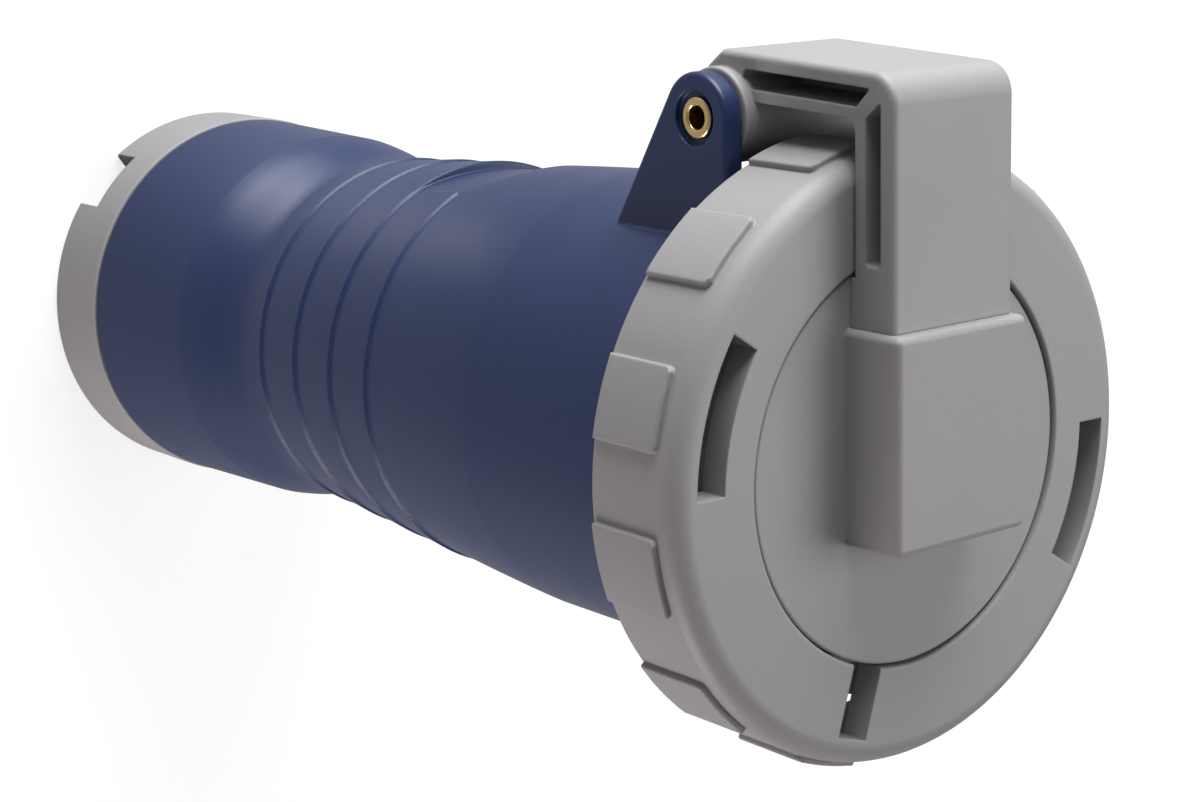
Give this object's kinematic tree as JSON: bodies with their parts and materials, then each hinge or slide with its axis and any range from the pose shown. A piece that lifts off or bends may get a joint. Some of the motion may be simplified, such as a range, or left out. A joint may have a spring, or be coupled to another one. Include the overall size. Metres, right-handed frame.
{
  "type": "pin and sleeve cable socket",
  "caption": "Watertight in-line cable socket: ribbed handle with gland nut, sleeved contacts in a round collar, and a hinged lid with a bayonet ring.",
  "frame": {"origin": "on the socket's axis, in the plane of the gland nut's rear rim, on which the part stands", "axes": "+Z along the axis from the gland nut to the lid, +Y towards the lid hinge, +X to the right seen from the lid with the hinge up"},
  "size_m": [0.1144, 0.1293, 0.2523],
  "materials": {
    "blue_plastic": "satin moulded",
    "grey_plastic": "fine matte moulded",
    "black_plastic": "matte moulded",
    "rubber": "matte",
    "brass": "bright",
    "steel": "zinc plated"
  },
  "bodies": {
    "housing": {"handle_shell": "blue_plastic", "front_housing": "blue_plastic", "hinge_ears": "blue_plastic", "bayonet_ramps": "blue_plastic", "gland_bush": "rubber", "contact_carrier": "black_plastic", "carrier_retainer": "black_plastic", "carrier_screws": "steel", "sleeve_line": "brass", "sleeve_neutral": "brass", "sleeve_earth": "brass", "sleeve_pilot": "brass", "sleeve_springs": "steel", "terminal_screws": "steel", "hinge_pin": "brass"},
    "gland_thrust": {"thrust_washer": "steel"},
    "gland": {"gland_nut": "grey_plastic"},
    "lid": {"lid_disc": "grey_plastic", "lid_arm": "grey_plastic", "lid_backplate": "grey_plastic", "lid_screws": "steel", "lid_gasket": "rubber"},
    "ring": {"lid_ring": "grey_plastic", "ring_face": "grey_plastic", "ring_lugs": "grey_plastic"}
  },
  "joints": [
    {"name": "lid_hinge", "type": "hinge", "parent": "housing", "child": "lid", "pos_m": [0, 0.0602, 0.2068], "axis": [-1, 0, 0], "range_deg": [0, 180]},
    {"name": "ring_turn", "type": "hinge", "parent": "lid", "child": "ring", "pos_m": [0, 0, 0.229], "axis": [0, 0, 1], "range_deg": [-45, 0]},
    {"name": "gland_travel", "type": "slide", "parent": "housing", "child": "gland_thrust", "axis": [0, 0, -1], "range_m": [0, 0.006]},
    {"name": "gland_turn", "type": "hinge", "parent": "gland_thrust", "child": "gland", "pos_m": [0, 0, 0.01], "axis": [0, 0, -1], "range_deg": [0, 719.9]}
  ],
  "couplings": [
    {"joint": "gland_travel", "follows": "gland_turn", "m_per_rad": 0.00047746}
  ]
}
